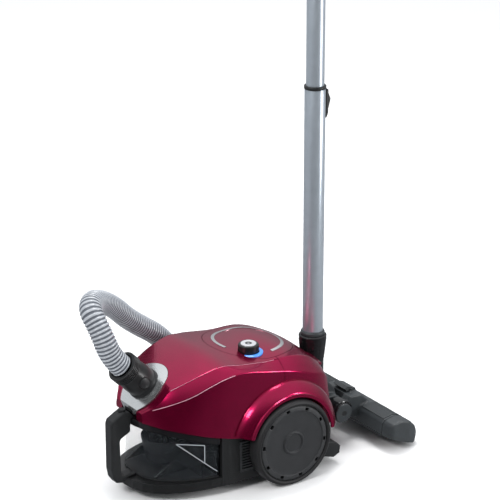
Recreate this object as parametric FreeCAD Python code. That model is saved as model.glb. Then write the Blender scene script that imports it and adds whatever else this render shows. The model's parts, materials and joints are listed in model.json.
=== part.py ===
# Bagless canister vacuum cleaner with a parked telescopic wand and floor nozzle.
# Millimetres. +Z is up, -Y is the front (dust bin and carrying handle), +X is the
# cleaner's left side. The floor is Z = 0.
import FreeCAD
import Part
import math
import os

os.makedirs("parts", exist_ok=True)
V = FreeCAD.Vector

# ---------------------------------------------------------------- driving sizes
AXLE_Y = 4.0              # rear wheel axle, behind the origin
WHEEL_R = 75.0
WHEEL_IN = 107.5          # inner face of the tyre
WHEEL_OUT = 134.0         # outer face of the tyre
WALL = 3.0                # housing wall
BASE_W = 100.0            # half width of the base at the rear
BASE_Z = 16.0             # underside of the base
RIM_Z = 32.0              # top of the front pan, where the dust bin stands
NOSE_Y = -246.0           # front of the base pan
BIN_NOSE_Y = -230.0
BIN_REAR_Y = -120.0
BIN_W = 96.0
LID_T = 11.0              # thickness of the bin's black lid
REAR_Y = 108.0            # rear wall of the housing
PANEL_R = 76.0            # round control panel
PANEL_Y = -1.0
PANEL_Z = 196.0
KNOB_X = 42.0
KNOB_Y = -27.0
KNOB_Z = 215.6            # control panel surface under the knob
KNOB_R = 17.0
INLET = V(0, -201, 183)   # centre of the hose inlet, on the bezel's face
INLET_DIR = V(0, -1, 1).normalize()
WAND_Y = 134.0            # wand axis, parked behind the body
TUBE_R = 17.5             # lower (outer) telescopic tube
TUBE_R_UP = 15.2          # upper (inner) telescopic tube
COLLAR_Z = 632.0
TUBE_TOP = 835.0
BARREL_Y = 158.0          # nozzle's tilting barrel
BARREL_Z = 62.0
HEAD_W = 134.0            # half width of the floor nozzle
PEDAL_Y = 205.0           # hinge pin of the nozzle's pedal
PEDAL_Z = 79.0
HOSE_R = 19.0
BOSS_R = 13.0             # bearing boss of each rear axle
SPINDLE_R = 8.0           # spindle that the cord reel turns on
AXLE_R = 5.5
CASTER_Y = -188.0         # swivel axis of the front caster
CASTER_TRAIL = 8.0
CASTER_R = 7.5
MOUTH = 64.0              # elbow mouth above the bezel's face
HOOD_W = 80.0             # half width of the hood, between the side panels
DUCT_R = 24.0             # air duct from the dust bin into the body
DUCT_Z = 68.0
FILTER_Y = -166.0         # upright axis of the cyclone and filter
BRUSH_TILT = 22.8         # lean of the brush strips, in degrees
SCREW_SPOTS = [(-70, -90), (70, -90), (-70, 90), (70, 90)]

# Housing sections from front to rear: Y, then half width and height of the lower
# edge, of the side crease and of the shoulder crease, then the height on the centre.
SECTIONS = [
    (-234, 40, 139, 38, 156, 34, 170, 174),
    (-215, 66, 134, 62, 168, 52, 182, 186),
    (-190, 83, 127, 79, 178, 64, 196, 200),
    (-165, 92, 119, 89, 187, 71, 206, 210),
    (-135, 98, 109, 95, 199, 77, 216, 220),
    (-105, 102, 101, 99, 208, 80, 222, 226),
    (-70, 104, 93, 101, 210, 82, 217, 223),
    (-20, 104, 86, 102, 200, 83, 211, 219),
    (30, 104, 78, 102, 188, 82, 209, 216),
    (70, 101, 74, 97, 172, 74, 196, 203),
    (96, 95, 70, 86, 162, 62, 178, 184),
    (REAR_Y, 90, 70, 78, 150, 56, 166, 171),
]

# Hose route, from the elbow's mouth over the top of its arch and down to the floor
# on the far side, where it lies in one wide turn and ends at the hand grip.
ROUTE = [
    V(0, -244.8, 226.8), V(-2, -264, 246), V(-10, -277, 290), V(-38, -283, 325), V(-76, -250, 321),
    V(-104, -200, 289), V(-124, -156, 245), V(-146, -74, 186), V(-180, -40, 128), V(-230, -28, 72),
    V(-290, -12, 32), V(-352, 14, 19.2), V(-418, 59, 19.2), V(-438, 165, 19.2), V(-377, 254, 19.2),
    V(-275, 275, 19.2), V(-190, 215, 19.2), V(-184, 146, 19.2),
]

# Floor nozzle's profile: Y, Z from the rear edge over the top to the front lip.
HEAD = [
    (203, 28), (206, 48), (211, 54), (228, 57.5), (247, 52), (262, 38), (274, 22), (275, 15),
    (268, 8), (258, 5),
]

ALONG_X = V(1, 0, 0)
ALONG_Y = V(0, 1, 0)
UP = V(0, 0, 1)
ORIGIN = V(0, 0, 0)
AXLE = V(0, AXLE_Y, WHEEL_R)
BARREL = V(0, BARREL_Y, BARREL_Z)
made = {}


# ---------------------------------------------------------------- helpers
def save(name, shape):
    """Write one sub-part and remember it."""
    shape = shape.removeSplitter()
    if not shape.isValid():
        print("invalid", name)
    made[name] = shape
    shape.exportStep("parts/" + name + ".step")
    print(f"{name:28s} solids {len(shape.Solids)} volume {shape.Volume:.0f}")


def box(x0, x1, y0, y1, z0, z1):
    return Part.makeBox(x1 - x0, y1 - y0, z1 - z0, V(x0, y0, z0))


def rod(radius, start, end):
    """Cylinder between two points."""
    return Part.makeCylinder(radius, (end - start).Length, start, end - start)


def tube(outer, inner, start, end):
    return rod(outer, start, end).cut(rod(inner, start, end))


def turned(profile, base, axis):
    """Turn a closed (radius, height) profile about an axis through base."""
    wire = Part.makePolygon([V(r, 0, h) for r, h in profile + profile[:1]])
    solid = Part.Face(wire).revolve(ORIGIN, UP, 360)
    turn = FreeCAD.Rotation(UP, axis)
    solid.Placement = FreeCAD.Placement(base, turn)
    return solid


def slab(points, axis, low, high):
    """Extrude a closed outline of (a, b) pairs along axis x, y or z."""
    corners = []
    for a, b in points + points[:1]:
        spot = {"x": V(low, a, b), "y": V(a, low, b), "z": V(a, b, low)}[axis]
        corners.append(spot)
    step = {"x": ALONG_X, "y": ALONG_Y, "z": UP}[axis] * (high - low)
    return Part.Face(Part.makePolygon(corners)).extrude(step)


def mirror(shape):
    return shape.mirror(ORIGIN, ALONG_X)


def pair(shape):
    """A left piece and its mirror image, as two solids."""
    return Part.makeCompound([shape, mirror(shape)])


def soften(shape, radius, wanted):
    """Round the edges that wanted(edge) picks."""
    return shape.makeFillet(radius, [edge for edge in shape.Edges if wanted(edge)])


def plan(nose, half_width, rear, corner=0.0, steps=9):
    """Plan outline with a blunt round nose: right side forward, left side back."""
    side_y = -60.0
    power = 2.4
    right = []
    share = max(0.0, (rear - side_y) / (nose - side_y))
    last = math.acos(share ** (power / 2))
    for i in range(steps + 1):
        angle = last * i / steps
        x = half_width * math.sin(angle) ** (2 / power)
        y = side_y + (nose - side_y) * math.cos(angle) ** (2 / power)
        right.append((x, y))
    tail = [] if share else [(half_width, rear - corner)]
    if corner:
        tail.append((half_width - corner, rear))
    half = right[1:] + tail
    return [right[0]] + half + [(-x, y) for x, y in reversed(half)]


def ring_of(section, inset, drop):
    y, wb, zb, wc, zc, ws, zs, zt = section
    half = [(wb - inset, zb - drop), (wc - inset, zc - inset * 0.6), (ws - inset * 0.6, zs - inset)]
    points = half + [(0, zt - inset)] + [(-x, z) for x, z in reversed(half)]
    return Part.makePolygon([V(x, y, z) for x, z in points + points[:1]])


def housing(inset, drop):
    """Solid inside the red housing, inset by the wall."""
    rows = [list(row) for row in SECTIONS]
    rows[0][0] += inset
    rows[-1][0] -= inset
    return Part.makeLoft([ring_of(row, inset, drop) for row in rows], True, True)


def screw(spot, axis, length=14.0):
    """Pan-head screw with its head on spot, pointing along axis."""
    head = turned([(0, 0), (3.4, 0), (3.0, 1.6), (1.2, 2.2), (0, 2.2)], spot, axis * -1)
    return head.fuse(rod(1.6, spot, spot + axis * length))


# ---------------------------------------------------------------- red housing
def red_housing():
    shell = housing(0, 0).cut(housing(WALL, 8))
    tray = box(-150, 150, -300, 200, -50, 60)
    shell = shell.cut(tray)
    inlet_hole = rod(36.0, INLET - INLET_DIR * 70, INLET + INLET_DIR * 40)
    front_gap = box(-22, 22, -260, -222, 60, 190)
    shell = shell.cut(inlet_hole).cut(front_gap)
    wheel_wells = rod(78.0, V(-140, AXLE_Y, WHEEL_R), V(140, AXLE_Y, WHEEL_R))
    wheel_wells = wheel_wells.cut(box(-103.2, 103.2, -100, 100, -20, 180))
    shell = shell.cut(wheel_wells)
    shell = shell.cut(rod(BOSS_R + 0.3, V(-120, AXLE_Y, WHEEL_R), V(120, AXLE_Y, WHEEL_R)))
    panel_zone = rod(PANEL_R, V(0, PANEL_Y, PANEL_Z), V(0, PANEL_Y, 250))
    panel = shell.common(panel_zone)
    rest = shell.cut(panel_zone)
    knob_hole = rod(KNOB_R + 1.0, V(KNOB_X, KNOB_Y, 190), V(KNOB_X, KNOB_Y, 240))
    panel = panel.cut(knob_hole)
    panel = panel.cut(ring_trim(0.0, 1.2))
    hood_zone = slab(plan(-232, HOOD_W, AXLE_Y), "z", 60, 250)
    hood = rest.common(hood_zone)
    sides = rest.cut(hood_zone)
    rear = rest.common(box(-150, 150, AXLE_Y, 200, 0, 260))
    left = sides.common(box(0, 150, -300, AXLE_Y, 0, 260))
    right = sides.common(box(-150, 0, -300, AXLE_Y, 0, 260))
    save("hood", biggest(hood))
    save("side_panel_left", biggest(left))
    save("side_panel_right", biggest(right))
    save("rear_cover", biggest(rear.cut(hook_slot())))
    save("control_panel", biggest(panel))


def biggest(shape):
    return max(shape.Solids, key=lambda solid: solid.Volume)


def hook_slot():
    """Slot in the rear cover that takes the wand's parking hook."""
    return box(-11, 11, 85, 130, 120, 260)


def ring_trim(low, high):
    """C-shaped trim on the control panel, open towards the knob."""
    outer = 61.0
    inner = 55.5
    band = tube(outer, inner, V(0, PANEL_Y, 200), V(0, PANEL_Y, 230))
    wedge = [(0, PANEL_Y)]
    for degrees in (-73, -45, -20, 9):
        turn = math.radians(degrees)
        wedge.append((120 * math.cos(turn), PANEL_Y + 120 * math.sin(turn)))
    band = band.cut(slab(wedge, "z", 190, 240))
    top = housing(-low, 8)
    under = housing(high, 8)
    return band.common(top).cut(under)


def arches():
    """Flared red arch over each rear wheel."""
    centre = AXLE
    profile = [
        (99, 103.5), (101, 111), (98, 116), (90, 125), (85, 127.5), (79, 127.5), (79, 124.5),
        (84, 124.5), (88, 122.5), (95, 113), (97, 107), (96, 103.5),
    ]
    flare = turned(profile, AXLE, ALONG_X)
    lower = [(-160, -60), (160, -60), (160, 76), (AXLE_Y + 40, 84), (AXLE_Y - 40, 94), (-160, 112)]
    flare = flare.cut(slab(lower, "x", 90, 150))
    flare = biggest(flare)
    save("wheel_arches", pair(flare))


# ---------------------------------------------------------------- black base
def base_outline(extra=0.0):
    return plan(NOSE_Y - extra, BASE_W + extra, REAR_Y + extra, corner=14.0)


def seam_cut(gap):
    """Everything above the seam, less gap."""
    points = [(row[0], row[2] - gap) for row in SECTIONS]
    points = [(-300, points[0][1])] + points + [(200, points[-1][1]), (200, 400), (-300, 400)]
    return slab(points, "x", -160, 160)


def lower_housing():
    outer = slab(base_outline(), "z", BASE_Z, 150)
    inner = slab(base_outline(-WALL), "z", BASE_Z + WALL, 160)
    body = outer.cut(inner)
    body = body.cut(box(-150, 150, -300, BIN_REAR_Y + 3, RIM_Z, 200))
    body = body.cut(seam_cut(0))
    bulkhead = box(-BASE_W + 2, BASE_W - 2, BIN_REAR_Y + 3, BIN_REAR_Y + 6, BASE_Z + 1, 160)
    bulkhead = bulkhead.cut(seam_cut(0)).cut(rod(DUCT_R + 6, V(0, -140, DUCT_Z), V(0, -90, DUCT_Z)))
    deck = slab(base_outline(-1.0), "z", RIM_Z - 3, RIM_Z)
    deck = deck.common(box(-150, 150, -300, BIN_REAR_Y + 5, 0, 60))
    body = body.fuse(bulkhead).fuse(deck)
    body = body.cut(rod(25.0, V(0, CASTER_Y, 0), V(0, CASTER_Y, 28)))
    body = body.cut(rod(4.2, V(0, CASTER_Y, 0), V(0, CASTER_Y, 40)))
    cup = tube(27.5, 25.0, V(0, CASTER_Y, BASE_Z), V(0, CASTER_Y, RIM_Z - 3))
    lid = tube(27.0, 4.2, V(0, CASTER_Y, 28), V(0, CASTER_Y, RIM_Z))
    body = body.fuse(cup).fuse(lid)
    body = body.cut(pair(box(97, 104, -84, -54, 34, 88)))
    for side in (1, -1):
        start = AXLE + V(side * 80, 0, 0)
        end = AXLE + V(side * 103, 0, 0)
        body = body.fuse(rod(BOSS_R, start, end))
        body = body.cut(rod(AXLE_R, start + V(side, 0, 0), end + V(side * 5, 0, 0)))
    body = body.fuse(rod(SPINDLE_R, V(-80, AXLE_Y, WHEEL_R), V(-36, AXLE_Y, WHEEL_R)))
    body = body.cut(rod(9.0, V(-62, 90, 50), V(-62, 120, 50)))
    for x, y in SCREW_SPOTS:
        body = body.cut(rod(1.7, V(x, y, BASE_Z - 5), V(x, y, BASE_Z + 20)))
    save("lower_housing", biggest(body))


def grilles():
    """Louvred exhaust panels ahead of the wheels."""
    frame = box(98, 102.5, -83.8, -54.2, 34.2, 87.8)
    for i in range(10):
        z = 38.5 + i * 4.9
        frame = frame.cut(box(96, 105, -80.5, -57.5, z, z + 2.6))
    save("exhaust_grilles", pair(frame))


def rear_feet():
    """Heels at the rear corners, for parking the cleaner upright."""
    outline = [(84, 18), (104, 12), (116, 17), (118, 30), (110, 38), (98, 42), (88, 44)]
    foot = slab(outline, "x", 86, 106).cut(slab(base_outline(0.1), "z", 0, 80))
    bar = slab([(108.2, 20), (117, 20), (117, 32), (108.2, 34)], "x", -80, 80)
    bumper = foot.fuse(mirror(foot)).fuse(bar)
    for link in pair(box(70, 106, 108.2, 114, 20, 32)).Solids:
        bumper = bumper.fuse(link)
    save("rear_bumper", bumper)


# ---------------------------------------------------------------- wheels
def wheel_set():
    tyre_profile = [
        (66.2, WHEEL_IN), (72.5, WHEEL_IN), (75, WHEEL_IN + 3), (75, WHEEL_OUT - 6),
        (73.4, WHEEL_OUT - 2), (70.5, WHEEL_OUT), (67.6, WHEEL_OUT - 1), (66.2, WHEEL_OUT - 4),
    ]
    tyre = turned(tyre_profile, AXLE, ALONG_X)
    face = WHEEL_OUT - 5.2
    disc_profile = [
        (5.6, WHEEL_IN + 1), (18, WHEEL_IN + 1), (22, 121), (62, 121), (62, WHEEL_IN + 1),
        (66.2, WHEEL_IN + 1), (66.2, WHEEL_OUT - 4), (64.5, WHEEL_OUT - 2.4),
        (58, WHEEL_OUT - 1.6), (57, WHEEL_OUT - 3.4), (21, face), (19.6, WHEEL_OUT - 3.2),
        (17.6, WHEEL_OUT - 2.8), (15.4, face), (0, face), (0, 127.4), (9, 127.4), (9, 125),
        (5.6, 125),
    ]
    disc = turned(disc_profile, AXLE, ALONG_X)
    for i in range(10):
        notch = box(126, 140, -3.5, 3.5, 58.5, 63.5)
        notch.rotate(ORIGIN, ALONG_X, 36 * i + 12)
        notch.translate(AXLE)
        disc = disc.cut(notch)
    clip = tube(7.5, AXLE_R, AXLE + V(125.2, 0, 0), AXLE + V(126.2, 0, 0))
    axle = rod(AXLE_R, AXLE + V(81, 0, 0), AXLE + V(127, 0, 0)).fuse(clip)
    for name, shape in (("tyre", tyre), ("wheel_disc", disc)):
        save(name + "_left", shape)
        save(name + "_right", mirror(shape))
    save("axles", pair(axle))


def caster():
    hub_y = CASTER_Y + CASTER_TRAIL
    axis = V(0, hub_y, CASTER_R)
    crown = rod(17.0, V(0, CASTER_Y, 24), V(0, CASTER_Y, 27))
    cheeks = box(-13, -10, hub_y - 6, hub_y + 6, 6, 25).fuse(box(10, 13, hub_y - 6, hub_y + 6, 6, 25))
    stem = rod(4.1, V(0, CASTER_Y, 26), V(0, CASTER_Y, RIM_Z - 0.2))
    fork = crown.fuse(cheeks).fuse(stem)
    fork = fork.cut(rod(CASTER_R + 1.2, V(-9.8, hub_y, CASTER_R), V(9.8, hub_y, CASTER_R)))
    fork = fork.cut(rod(2.0, axis + V(-20, 0, 0), axis + V(20, 0, 0)))
    pin = rod(2.0, axis + V(-13.4, 0, 0), axis + V(13.4, 0, 0))
    wheel = soften(rod(CASTER_R, axis + V(-9, 0, 0), axis + V(9, 0, 0)), 2.0, lambda edge: True)
    save("caster_fork", fork.fuse(pin))
    save("caster_wheel", wheel.cut(rod(2.06, axis + V(-20, 0, 0), axis + V(20, 0, 0))))


# ---------------------------------------------------------------- dust bin
def dust_bin():
    outline = plan(BIN_NOSE_Y, BIN_W, BIN_REAR_Y)
    inside = plan(BIN_NOSE_Y + 2.5, BIN_W - 2.5, BIN_REAR_Y - 2.5)
    shell = slab(outline, "z", RIM_Z + 3.5, 160).cut(slab(inside, "z", RIM_Z + 3.4, 170))
    shell = shell.cut(seam_cut(LID_T + 1.5))
    shell = shell.cut(rod(DUCT_R, V(0, -140, DUCT_Z), V(0, -100, DUCT_Z)))
    floor = slab(outline, "z", RIM_Z + 0.3, RIM_Z + 3.5)
    band = seam_cut(LID_T + 1.5).cut(seam_cut(1.5))
    lid = slab(plan(BIN_NOSE_Y - 8, BIN_W + 4, BIN_REAR_Y), "z", 60, 160).common(band)
    hollow = slab(plan(BIN_NOSE_Y + 6, BIN_W - 8, BIN_REAR_Y - 8), "z", 50, 160)
    lower = seam_cut(LID_T + 3).cut(seam_cut(4.5))
    lid = lid.cut(hollow.common(lower))
    save("dust_container", biggest(shell))
    save("bin_floor", floor)
    save("bin_lid", lid)


def bin_handle():
    """Carrying grip at the very front, joined to the bin's lid and floor."""
    outer = [
        (-275, 132), (-272, 139), (-250, 151), (-240, 149), (-229.5, 137), (-229.5, 128.3),
        (-238.4, 128.3), (-238.4, 114), (-255, 106), (-258, 100), (-257, 44), (-252, 36),
        (-231, 37.4), (-231, 32.4), (-247.5, 32.4), (-252, 24), (-266, 27), (-272, 36),
        (-275, 52),
    ]
    grip = slab(outer, "x", -11, 11)
    grip = soften(grip, 3.0, lambda edge: edge.BoundBox.YMax < -240 and edge.BoundBox.XLength < 0.1)
    grip = grip.cut(slab(plan(BIN_NOSE_Y, BIN_W, BIN_REAR_Y), "z", 20, 128.0))
    grip = grip.cut(made["bin_lid"])
    grip = grip.cut(rod(6.2, V(0, -248, 142), V(0, -248, 160)))
    grip = grip.cut(rod(3.0, V(0, -248, 128), V(0, -248, 160)))
    save("bin_handle", biggest(grip))
    button = rod(6.1, V(0, -248, 146), V(0, -248, 153)).fuse(rod(2.9, V(0, -248, 134), V(0, -248, 148)))
    save("bin_release_button", button)


def separator():
    """Cyclone, its screen and the pleated filter inside the bin."""
    spot = V(0, FILTER_Y, 0)
    cone = turned([(30, 46), (33, 46), (40, 84), (40, 87), (37, 87), (37, 84)], spot, UP)
    pleats = rod(14, spot + V(0, 0, 48), spot + V(0, 0, 88))
    for i in range(18):
        fin = box(13, 27, -0.9, 0.9, 48, 88)
        fin.rotate(ORIGIN, UP, 20 * i)
        fin.translate(spot)
        pleats = pleats.fuse(fin)
    plate = box(41, BIN_W - 6, -150, -147, 37, 96)
    ramp = slab([(-215, 37), (-150, 37), (-150, 74), (-153, 74)], "x", 42, 46)
    baffle = plate.fuse(ramp)
    save("cyclone_cone", cone)
    save("pleated_filter", pleats)
    room = slab(plan(BIN_NOSE_Y + 2.5, BIN_W - 2.5, BIN_REAR_Y - 2.5), "z", 36, 130)
    save("bin_baffles", baffle.fuse(mirror(baffle)).common(room))


# ---------------------------------------------------------------- hose inlet and hose
def along(distance):
    return INLET + INLET_DIR * distance


def inlet_parts():
    bezel_profile = [
        (25.6, -26), (35.5, -26), (41, -14), (41.5, -4), (37, 4), (31, 8), (25.6, 8),
    ]
    bezel = turned(bezel_profile, INLET, INLET_DIR)
    bezel = bezel.cut(made["bin_lid"]).cut(box(-60, 60, -260, -150, 60, 146))
    save("inlet_bezel", biggest(bezel.cut(made["hood"])))
    body_profile = [
        (20, -24), (25.2, -24), (25.2, 9), (26.5, 12), (26.5, 30), (25, 48), (25, MOUTH),
        (22.2, MOUTH), (22.2, 44), (20, 42),
    ]
    body = turned(body_profile, INLET, INLET_DIR)
    pocket = rod(9.3, along(26) + V(22.3, 0, 0), along(26) + V(32, 0, 0))
    body = body.cut(pocket).cut(mirror(pocket))
    button = rod(9.0, along(26) + V(24.7, 0, 0), along(26) + V(29, 0, 0))
    button = button.common(rod(28.0, along(0), along(60)))
    cuff = turned([(18.6, 44.6), (22.0, 44.6), (22.0, 60), (20.5, 62), (18.6, 62)], INLET, INLET_DIR)
    save("hose_elbow", biggest(body))
    save("elbow_latch_left", button)
    save("elbow_latch_right", mirror(button))
    save("hose_cuff", cuff)


def hose_path(points):
    """Straight runs joined by tangent arcs, each as large as its runs allow."""
    edges = []
    start = points[0]
    for before, corner, after in zip(points, points[1:], points[2:]):
        back = before - corner
        ahead = after - corner
        shorter = min(back.Length, ahead.Length)
        u = V(back).normalize()
        w = V(ahead).normalize()
        half_turn = (math.pi - u.getAngle(w)) / 2
        reach = 0.45 * shorter
        radius = reach / math.tan(half_turn)
        first = corner + u * reach
        last = corner + w * reach
        inward = (u + w).normalize()
        middle = corner + inward * (radius / math.cos(half_turn) - radius)
        edges.append(Part.LineSegment(start, first).toShape())
        edges.append(Part.Arc(first, middle, last).toShape())
        start = last
    edges.append(Part.LineSegment(start, points[-1]).toShape())
    return Part.Wire(edges)


def hose():
    heading = ROUTE[1] - ROUTE[0]
    section = Part.Wire(Part.makeCircle(HOSE_R - 0.6, ROUTE[0], heading))
    save("hose", hose_path(ROUTE).makePipeShell([section], True, False))


def grip():
    """Bent hand grip at the hose's far end, with its suction valve."""
    heading = (ROUTE[-1] - ROUTE[-2]).normalize()

    def on(distance, lift=0.0):
        return ROUTE[-1] + heading * distance + V(0, 0, lift)

    collar = rod(19.1, on(0), on(34))
    tube_a = rod(16.5, on(34.1), on(104))
    tube_b = rod(16.5, on(104), on(188, 14)).fuse(Part.makeSphere(16.5, on(104)))
    tip = rod(17.6, on(182, 13), on(188, 14))
    body = tube_a.fuse(tube_b).fuse(tip)
    lever = rod(9, on(52, 12), on(84, 54))
    lever = lever.fuse(rod(9, on(84, 54), on(160, 58)))
    lever = lever.fuse(Part.makeSphere(9, on(84, 54)))
    post = rod(8, on(160, 58), on(160, 14)).fuse(Part.makeSphere(9, on(160, 58)))
    body = body.fuse(lever).fuse(post)
    body = body.cut(rod(14.2, on(104, 0), on(200, 16)))
    body = body.cut(rod(6.3, on(124, 60.5), on(124, 70)))
    save("hose_end_collar", collar)
    save("hand_grip", biggest(body))
    save("suction_valve", rod(6.2, on(124, 60.7), on(124, 66.5)))


# ---------------------------------------------------------------- control knob
def knob():
    base = V(KNOB_X, KNOB_Y, KNOB_Z)
    ring_profile = [
        (KNOB_R + 1.2, -4), (24, -4), (24.4, 0.6), (22.5, 1.8), (19, 2.0), (KNOB_R + 1.2, 1.6),
    ]
    ring = turned(ring_profile, base, UP)
    ring = ring.cut(made["control_panel"])
    cap = turned([(13.2, 3), (KNOB_R, 3), (KNOB_R, 13.6), (KNOB_R - 1.2, 14.8), (13.2, 14.8)], base, UP)
    skirt_profile = [
        (0, -12), (8, -12), (8, -3), (KNOB_R - 0.6, -3), (KNOB_R - 0.6, 3.4), (13.2, 3.4),
        (13.2, 8), (0, 8),
    ]
    skirt = turned(skirt_profile, base, UP)
    knob_body = cap.fuse(skirt)
    grips = [box(KNOB_R - 0.5, KNOB_R + 0.4, -0.6, 0.6, 4.5, 13) for _ in range(24)]
    for i, rib in enumerate(grips):
        rib.rotate(ORIGIN, UP, 15 * i)
        rib.translate(base)
        knob_body = knob_body.fuse(rib)
    button_profile = [
        (0, 10.4), (13.1, 10.4), (13.1, 15.4), (12.2, 16.2), (6.2, 16.0), (5.6, 15.2), (0, 15.2),
    ]
    button = turned(button_profile, base, UP)
    save("knob_light_ring", biggest(ring))
    save("power_knob", knob_body)
    save("power_button", button)
    save("panel_ring", biggest(ring_trim(0.6, 1.2)))


# ---------------------------------------------------------------- inside the body
def internals():
    spot = V(38, -35, 116)
    can_profile = [
        (30, -62), (46, -62), (46, -20), (36, -16), (36, 46), (12, 50), (12, 47), (33, 43.5),
        (33, -18.6), (43, -22), (43, -59), (30, -59),
    ]
    can = turned(can_profile, spot, ALONG_Y)
    rotor_profile = [
        (0, -66), (4, -66), (4, -54), (40, -54), (41, -40), (4, -34), (4, -24), (24, -20),
        (24, 34), (4, 38), (4, 54), (0, 54),
    ]
    rotor = turned(rotor_profile, spot, ALONG_Y)
    save("motor_casing", can)
    save("motor_rotor", rotor)
    bore = SPINDLE_R + 0.08
    drum_profile = [
        (bore, -76), (50, -76), (50, -74), (26, -74), (26, -42), (50, -42), (50, -40),
        (bore, -40),
    ]
    drum = turned(drum_profile, AXLE, ALONG_X)
    save("cord_reel", drum)
    board = box(-30, 70, -40, 20, 178, 180)
    save("circuit_board", board.fuse(box(20, 44, -12, 8, 180, 190)))
    cassette = box(-26, 76, 78, 96, 40, 96)
    for i in range(12):
        x = -24 + i * 8.3
        cassette = cassette.cut(box(x, x + 4, 76, 92, 44, 92))
    save("exhaust_filter", cassette)
    outlet_end = V(-62, 110.5, 50)
    sleeve = tube(8.9, 4.0, V(-62, 96, 50), outlet_end)
    save("cord_outlet", sleeve.fuse(tube(11.5, 4.0, V(-62, 108.2, 50), outlet_end)))
    screws = [screw(V(x, y, BASE_Z - 0.01), UP) for x, y in SCREW_SPOTS]
    save("housing_screws", Part.makeCompound(screws))


# ---------------------------------------------------------------- wand
def wand():
    axis = V(0, WAND_Y, 0)
    socket_profile = [
        (17.7, 118), (19.5, 118), (19.5, 148), (22.5, 176), (24, 190), (24, 194), (22, 196),
        (17.7, 196),
    ]
    socket = turned(socket_profile, axis, UP)
    lug = box(-8, 8, WAND_Y - 44, WAND_Y - 18, 124, 134)
    lug = lug.fuse(box(-5, 5, WAND_Y - 24, WAND_Y - 18, 124, 186))
    lug = lug.fuse(box(-8, 8, WAND_Y - 44, WAND_Y - 38, 124, 140))
    socket = socket.fuse(lug).cut(rod(17.7, V(0, WAND_Y, 100), V(0, WAND_Y, 240)))
    grey = turned([(17.6, 196.2), (20.6, 196.2), (20.6, 201), (19, 203), (17.6, 203)], axis, UP)
    lower = tube(TUBE_R, TUBE_R - 1.0, V(0, WAND_Y, 152), V(0, WAND_Y, COLLAR_Z))
    collar_profile = [
        (15.5, COLLAR_Z - 8), (TUBE_R - 1, COLLAR_Z - 8), (TUBE_R - 1, COLLAR_Z),
        (18.4, COLLAR_Z), (18.4, COLLAR_Z + 5), (17, COLLAR_Z + 6), (15.5, COLLAR_Z + 6),
    ]
    collar = turned(collar_profile, axis, UP)
    upper = tube(TUBE_R_UP, TUBE_R_UP - 1.0, V(0, WAND_Y, 300), V(0, WAND_Y, TUBE_TOP))
    y = WAND_Y + TUBE_R
    holder_outline = [
        (y + 0.1, COLLAR_Z - 52), (y + 4, COLLAR_Z - 44), (y + 4, COLLAR_Z - 4),
        (y + 0.1, COLLAR_Z - 1),
    ]
    holder = slab(holder_outline, "x", -8, 8)
    thumb_outline = [
        (y + 4.3, COLLAR_Z - 40), (y + 8.5, COLLAR_Z - 26), (y + 9.5, COLLAR_Z - 20),
        (y + 4.3, COLLAR_Z - 8),
    ]
    thumb = slab(thumb_outline, "x", -6.5, 6.5)
    save("wand_socket", biggest(socket))
    save("socket_ring", grey)
    save("lower_tube", lower)
    save("tube_collar", collar)
    save("upper_tube", upper)
    save("tube_lock_housing", holder)
    save("tube_lock_slider", thumb)


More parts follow.
